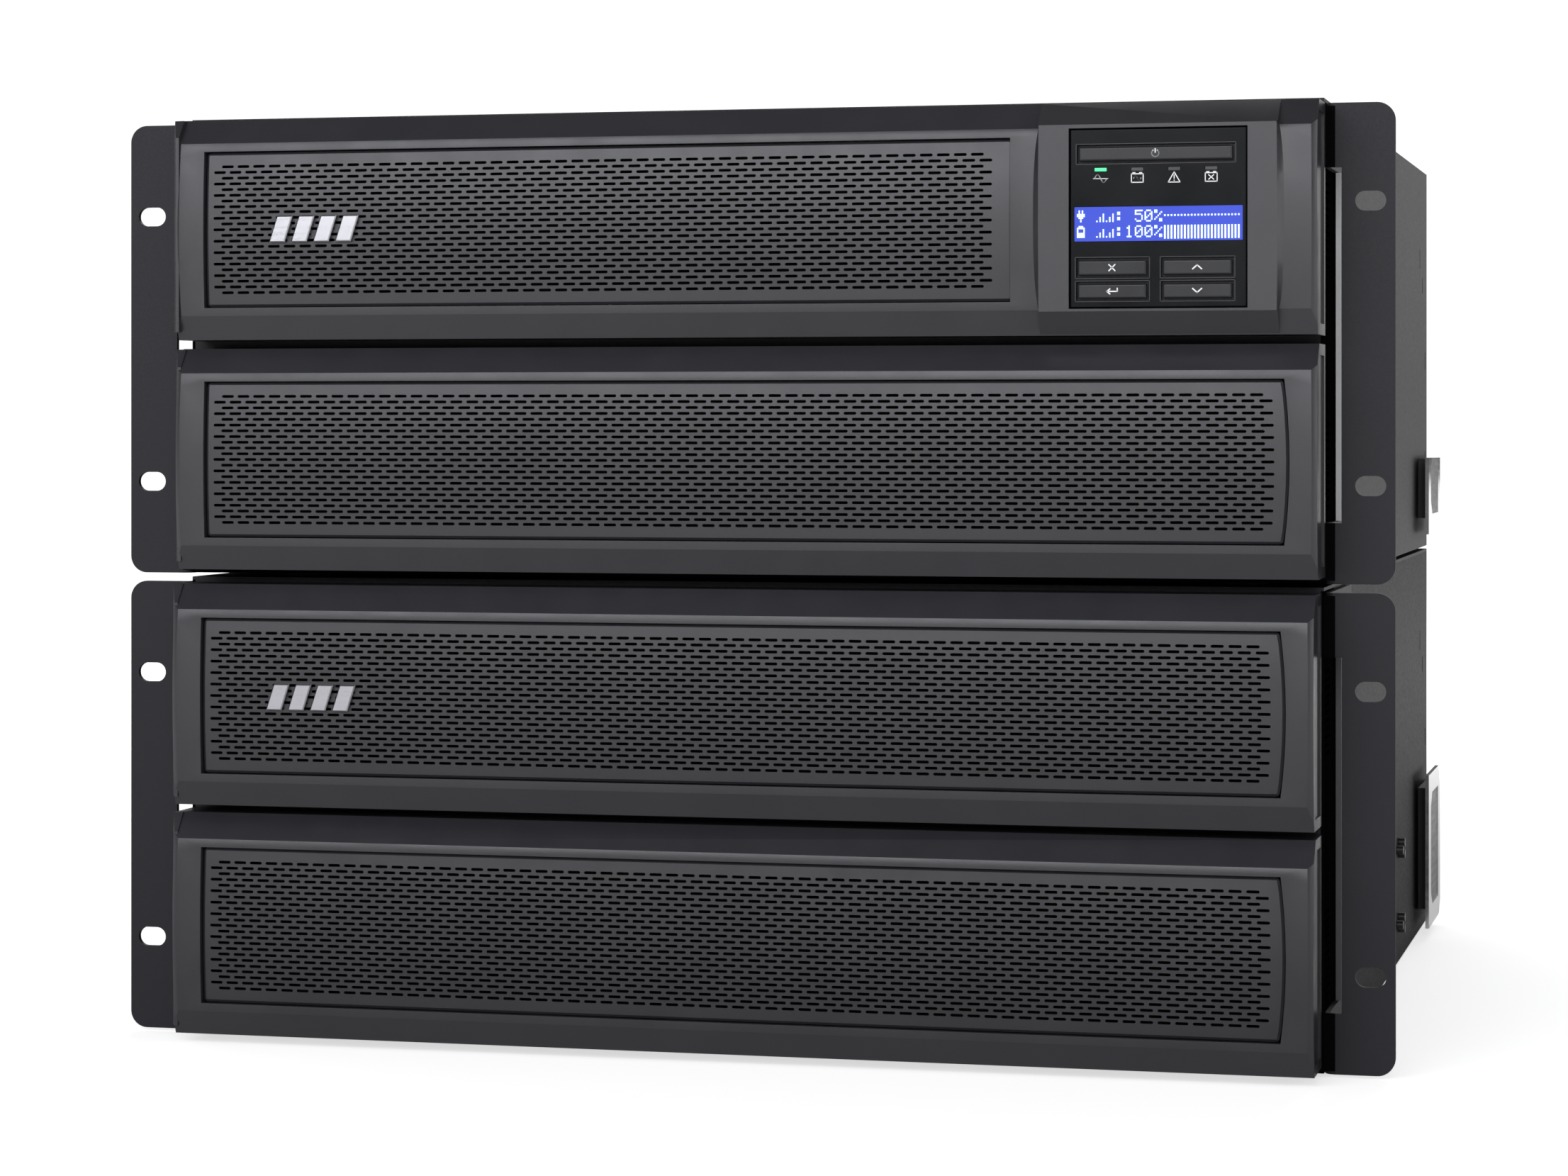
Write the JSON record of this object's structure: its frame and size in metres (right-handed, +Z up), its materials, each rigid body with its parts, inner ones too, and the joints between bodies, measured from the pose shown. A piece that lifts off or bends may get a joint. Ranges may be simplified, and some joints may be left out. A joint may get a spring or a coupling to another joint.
{
  "type": "rack-mount uninterruptible power supply",
  "caption": "Rack-mount uninterruptible power supply standing on its matching battery pack, with grilled bezels, display and push keys, rack ears and rear outlets.",
  "frame": {"origin": "bottom centre of the bounding box of the whole stack, on the plane it stands on", "axes": "+Z up, +Y from the front panel to the rear panel, +X across the rack with the display on the +X side"},
  "size_m": [0.4826, 0.4868, 0.3497],
  "materials": {
    "chassis_black": "satin powder coat",
    "ear_black": "fine satin powder coat",
    "bezel_plastic": "fine moulded grain",
    "grille_black": "fine moulded grain",
    "badge_metal": "bright satin",
    "display_black": "smooth satin",
    "screen_blue": "lit display",
    "lamp_plastic": "translucent",
    "board_green": "circuit board",
    "key_black": "smooth satin",
    "grip_chrome": "polished",
    "block_plastic": "matte",
    "pad_rubber": "matte",
    "screw_steel": "black oxide",
    "battery_case": "moulded",
    "socket_plastic": "moulded",
    "link_plastic": "moulded",
    "cover_steel": "zinc plated",
    "button_red": "moulded",
    "rotor_black": "moulded",
    "toggle_grey": "moulded",
    "heatsink_metal": "extruded",
    "core_iron": "varnished",
    "coil_wrap": "wound and varnished",
    "cap_sleeve": "sleeved"
  },
  "bodies": {
    "enclosures": {"pack_chassis_tray": "chassis_black", "pack_top_cover": "chassis_black", "pack_shelf": "chassis_black", "pack_front_frame": "chassis_black", "pack_rear_panel": "chassis_black", "ups_chassis_tray": "chassis_black", "ups_top_cover": "chassis_black", "ups_shelf": "chassis_black", "ups_front_frame": "chassis_black", "ups_rear_panel": "chassis_black", "pack_ear_left": "ear_black", "pack_ear_right": "ear_black", "ups_ear_left": "ear_black", "ups_ear_right": "ear_black", "ups_power_board": "board_green", "grip_frames": "grip_chrome", "grip_blocks": "block_plastic", "stacking_pads": "pad_rubber", "case_screws": "screw_steel", "ups_outlets": "socket_plastic", "ups_mains_inlet": "socket_plastic", "data_ports": "socket_plastic", "ups_breakers": "socket_plastic", "pack_breaker_body": "socket_plastic", "ups_fan_frames": "socket_plastic", "battery_links": "link_plastic", "ups_card_slot_cover": "cover_steel", "ups_heatsink": "heatsink_metal", "ups_transformer_cores": "core_iron", "ups_transformer_coils": "coil_wrap", "ups_capacitors": "cap_sleeve"},
    "ups_bezel_upper": {"ups_bezel_upper": "bezel_plastic", "ups_grille_upper": "grille_black", "ups_badge": "badge_metal"},
    "ups_bezel_lower": {"ups_bezel_lower": "bezel_plastic", "ups_grille_lower": "grille_black"},
    "pack_bezel_upper": {"pack_bezel_upper": "bezel_plastic", "pack_grille_upper": "grille_black", "pack_badge": "badge_metal"},
    "pack_bezel_lower": {"pack_bezel_lower": "bezel_plastic", "pack_grille_lower": "grille_black"},
    "ups_battery": {"ups_battery": "battery_case"},
    "pack_battery_upper": {"pack_battery_upper": "battery_case"},
    "pack_battery_lower": {"pack_battery_lower": "battery_case"},
    "display_module": {"display_housing": "display_black", "display_fascia": "display_black", "display_screen": "screen_blue", "display_lamps": "lamp_plastic", "display_board": "board_green"},
    "power_button": {"power_button": "key_black"},
    "key_back": {"key_back": "key_black"},
    "key_up": {"key_up": "key_black"},
    "key_enter": {"key_enter": "key_black"},
    "key_down": {"key_down": "key_black"},
    "breaker_button_1": {"ups_breaker_button_1": "button_red"},
    "breaker_button_2": {"ups_breaker_button_2": "button_red"},
    "fan_rotor_1": {"ups_fan_rotor_1": "rotor_black"},
    "fan_rotor_2": {"ups_fan_rotor_2": "rotor_black"},
    "breaker_toggle": {"pack_breaker_toggle": "toggle_grey"}
  },
  "joints": [
    {"name": "ups_bezel_upper_pull", "type": "slide", "parent": "enclosures", "child": "ups_bezel_upper", "axis": [0, -1, 0], "range_m": [0, 0.04]},
    {"name": "ups_bezel_lower_pull", "type": "slide", "parent": "enclosures", "child": "ups_bezel_lower", "axis": [0, -1, 0], "range_m": [0, 0.16]},
    {"name": "pack_bezel_upper_pull", "type": "slide", "parent": "enclosures", "child": "pack_bezel_upper", "axis": [0, -1, 0], "range_m": [0, 0.16]},
    {"name": "pack_bezel_lower_pull", "type": "slide", "parent": "enclosures", "child": "pack_bezel_lower", "axis": [0, -1, 0], "range_m": [0, 0.16]},
    {"name": "ups_battery_slide", "type": "slide", "parent": "enclosures", "child": "ups_battery", "axis": [0, -1, 0], "range_m": [0, 0.12]},
    {"name": "pack_battery_upper_slide", "type": "slide", "parent": "enclosures", "child": "pack_battery_upper", "axis": [0, -1, 0], "range_m": [0, 0.12]},
    {"name": "pack_battery_lower_slide", "type": "slide", "parent": "enclosures", "child": "pack_battery_lower", "axis": [0, -1, 0], "range_m": [0, 0.12]},
    {"name": "display_pull", "type": "slide", "parent": "enclosures", "child": "display_module", "axis": [0, -1, 0], "range_m": [0, 0.012]},
    {"name": "power_button_press", "type": "slide", "parent": "display_module", "child": "power_button", "axis": [0, 1, 0], "range_m": [0, 0.0008], "stiffness_N_per_m": 400, "springref_m": -0.0005},
    {"name": "key_back_press", "type": "slide", "parent": "display_module", "child": "key_back", "axis": [0, 1, 0], "range_m": [0, 0.0008], "stiffness_N_per_m": 400, "springref_m": -0.0005},
    {"name": "key_up_press", "type": "slide", "parent": "display_module", "child": "key_up", "axis": [0, 1, 0], "range_m": [0, 0.0008], "stiffness_N_per_m": 400, "springref_m": -0.0005},
    {"name": "key_enter_press", "type": "slide", "parent": "display_module", "child": "key_enter", "axis": [0, 1, 0], "range_m": [0, 0.0008], "stiffness_N_per_m": 400, "springref_m": -0.0005},
    {"name": "key_down_press", "type": "slide", "parent": "display_module", "child": "key_down", "axis": [0, 1, 0], "range_m": [0, 0.0008], "stiffness_N_per_m": 400, "springref_m": -0.0005},
    {"name": "breaker_reset_1", "type": "slide", "parent": "enclosures", "child": "breaker_button_1", "axis": [0, -1, 0], "range_m": [0, 0.002], "stiffness_N_per_m": 400, "springref_m": -0.0005},
    {"name": "breaker_reset_2", "type": "slide", "parent": "enclosures", "child": "breaker_button_2", "axis": [0, -1, 0], "range_m": [0, 0.002], "stiffness_N_per_m": 400, "springref_m": -0.0005},
    {"name": "fan_spin_1", "type": "hinge", "parent": "enclosures", "child": "fan_rotor_1", "pos_m": [-0.164, 0.2218, 0.30538], "axis": [0, 1, 0], "continuous": true},
    {"name": "fan_spin_2", "type": "hinge", "parent": "enclosures", "child": "fan_rotor_2", "pos_m": [-0.076, 0.2218, 0.30538], "axis": [0, 1, 0], "continuous": true},
    {"name": "breaker_rock", "type": "hinge", "parent": "enclosures", "child": "breaker_toggle", "pos_m": [0.04, 0.2328, 0.06154], "axis": [1, 0, 0], "range_deg": [-15, 15]}
  ],
  "couplings": [
    {"joint": "ups_bezel_lower_pull", "follows": "ups_battery_slide", "ratio": 1.3333},
    {"joint": "pack_bezel_upper_pull", "follows": "pack_battery_upper_slide", "ratio": 1.3333},
    {"joint": "pack_bezel_lower_pull", "follows": "pack_battery_lower_slide", "ratio": 1.3333}
  ]
}
